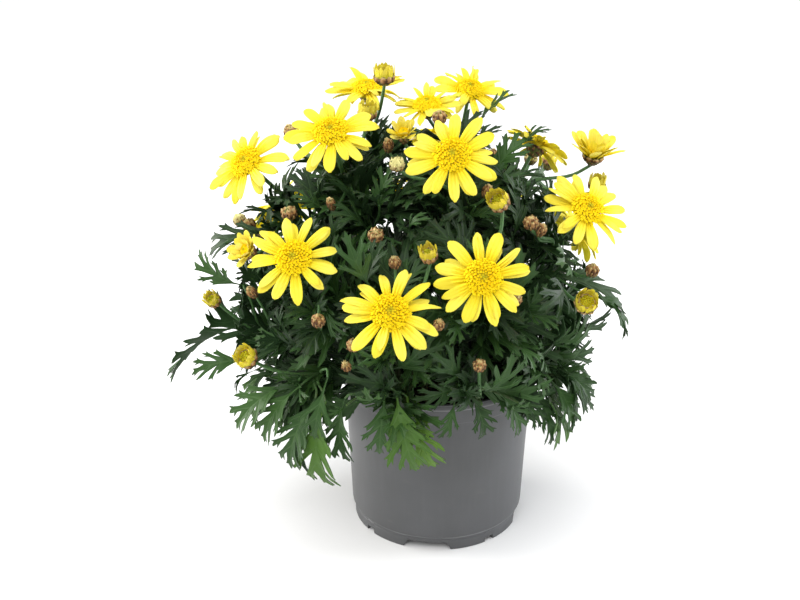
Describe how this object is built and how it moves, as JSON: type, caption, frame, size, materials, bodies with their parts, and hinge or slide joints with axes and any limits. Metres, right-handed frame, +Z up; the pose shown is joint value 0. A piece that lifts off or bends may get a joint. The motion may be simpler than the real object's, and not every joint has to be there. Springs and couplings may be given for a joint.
{
  "type": "potted marguerite daisy",
  "caption": "Round bush of finely cut leaves with yellow daisy blooms and brown buds on slim stems, growing from soil in a round grey plastic nursery pot with arched feet.",
  "frame": {"origin": "on the ground under the middle of the whole outline; the pot's own axis stands 24 mm from it along +X, because the bush leans towards -X", "axes": "+Z up, -Y towards the viewer of the picture, +X to that viewer's right"},
  "size_m": [0.2746, 0.2591, 0.2937],
  "materials": {
    "pot": "matte",
    "soil": "matte",
    "foliage": "matte",
    "petals": "matte",
    "disc_florets": "matte"
  },
  "bodies": {
    "root": {"pot": "pot", "soil": "soil", "leafy_stem_01": "foliage", "leafy_stem_02": "foliage", "leafy_stem_03": "foliage", "leafy_stem_04": "foliage", "leafy_stem_05": "foliage", "leafy_stem_06": "foliage", "leafy_stem_07": "foliage", "leafy_stem_08": "foliage", "leafy_stem_09": "foliage", "leafy_stem_10": "foliage", "leafy_stem_11": "foliage", "leafy_stem_12": "foliage", "leafy_stem_13": "foliage", "bloom_01_rays": "petals", "bloom_01_disc": "disc_florets", "bloom_02_rays": "petals", "bloom_02_disc": "disc_florets", "bloom_03_rays": "petals", "bloom_03_disc": "disc_florets", "bloom_04_rays": "petals", "bloom_04_disc": "disc_florets", "bloom_05_rays": "petals", "bloom_05_disc": "disc_florets", "bloom_06_rays": "petals", "bloom_06_disc": "disc_florets", "bloom_07_rays": "petals", "bloom_07_disc": "disc_florets", "bloom_08_rays": "petals", "bloom_08_disc": "disc_florets", "bloom_09_rays": "petals", "bloom_09_disc": "disc_florets", "bloom_10_rays": "petals", "bloom_10_disc": "disc_florets", "bloom_11_rays": "petals", "bloom_11_disc": "disc_florets", "bloom_12_rays": "petals", "bloom_12_disc": "disc_florets", "bloom_13_rays": "petals", "bloom_13_disc": "disc_florets", "bloom_14_rays": "petals", "bloom_14_disc": "disc_florets", "bloom_15_rays": "petals", "bloom_15_disc": "disc_florets", "bloom_16_rays": "petals", "bloom_16_disc": "disc_florets", "half_bloom_01": "petals", "half_bloom_02": "petals", "half_bloom_03": "petals", "opening_bud_01": "petals", "opening_bud_02": "petals", "opening_bud_03": "petals", "opening_bud_04": "petals", "opening_bud_05": "petals", "opening_bud_06": "petals", "opening_bud_07": "petals", "opening_bud_08": "petals", "opening_bud_09": "petals", "opening_bud_10": "petals"}
  },
  "joints": []
}
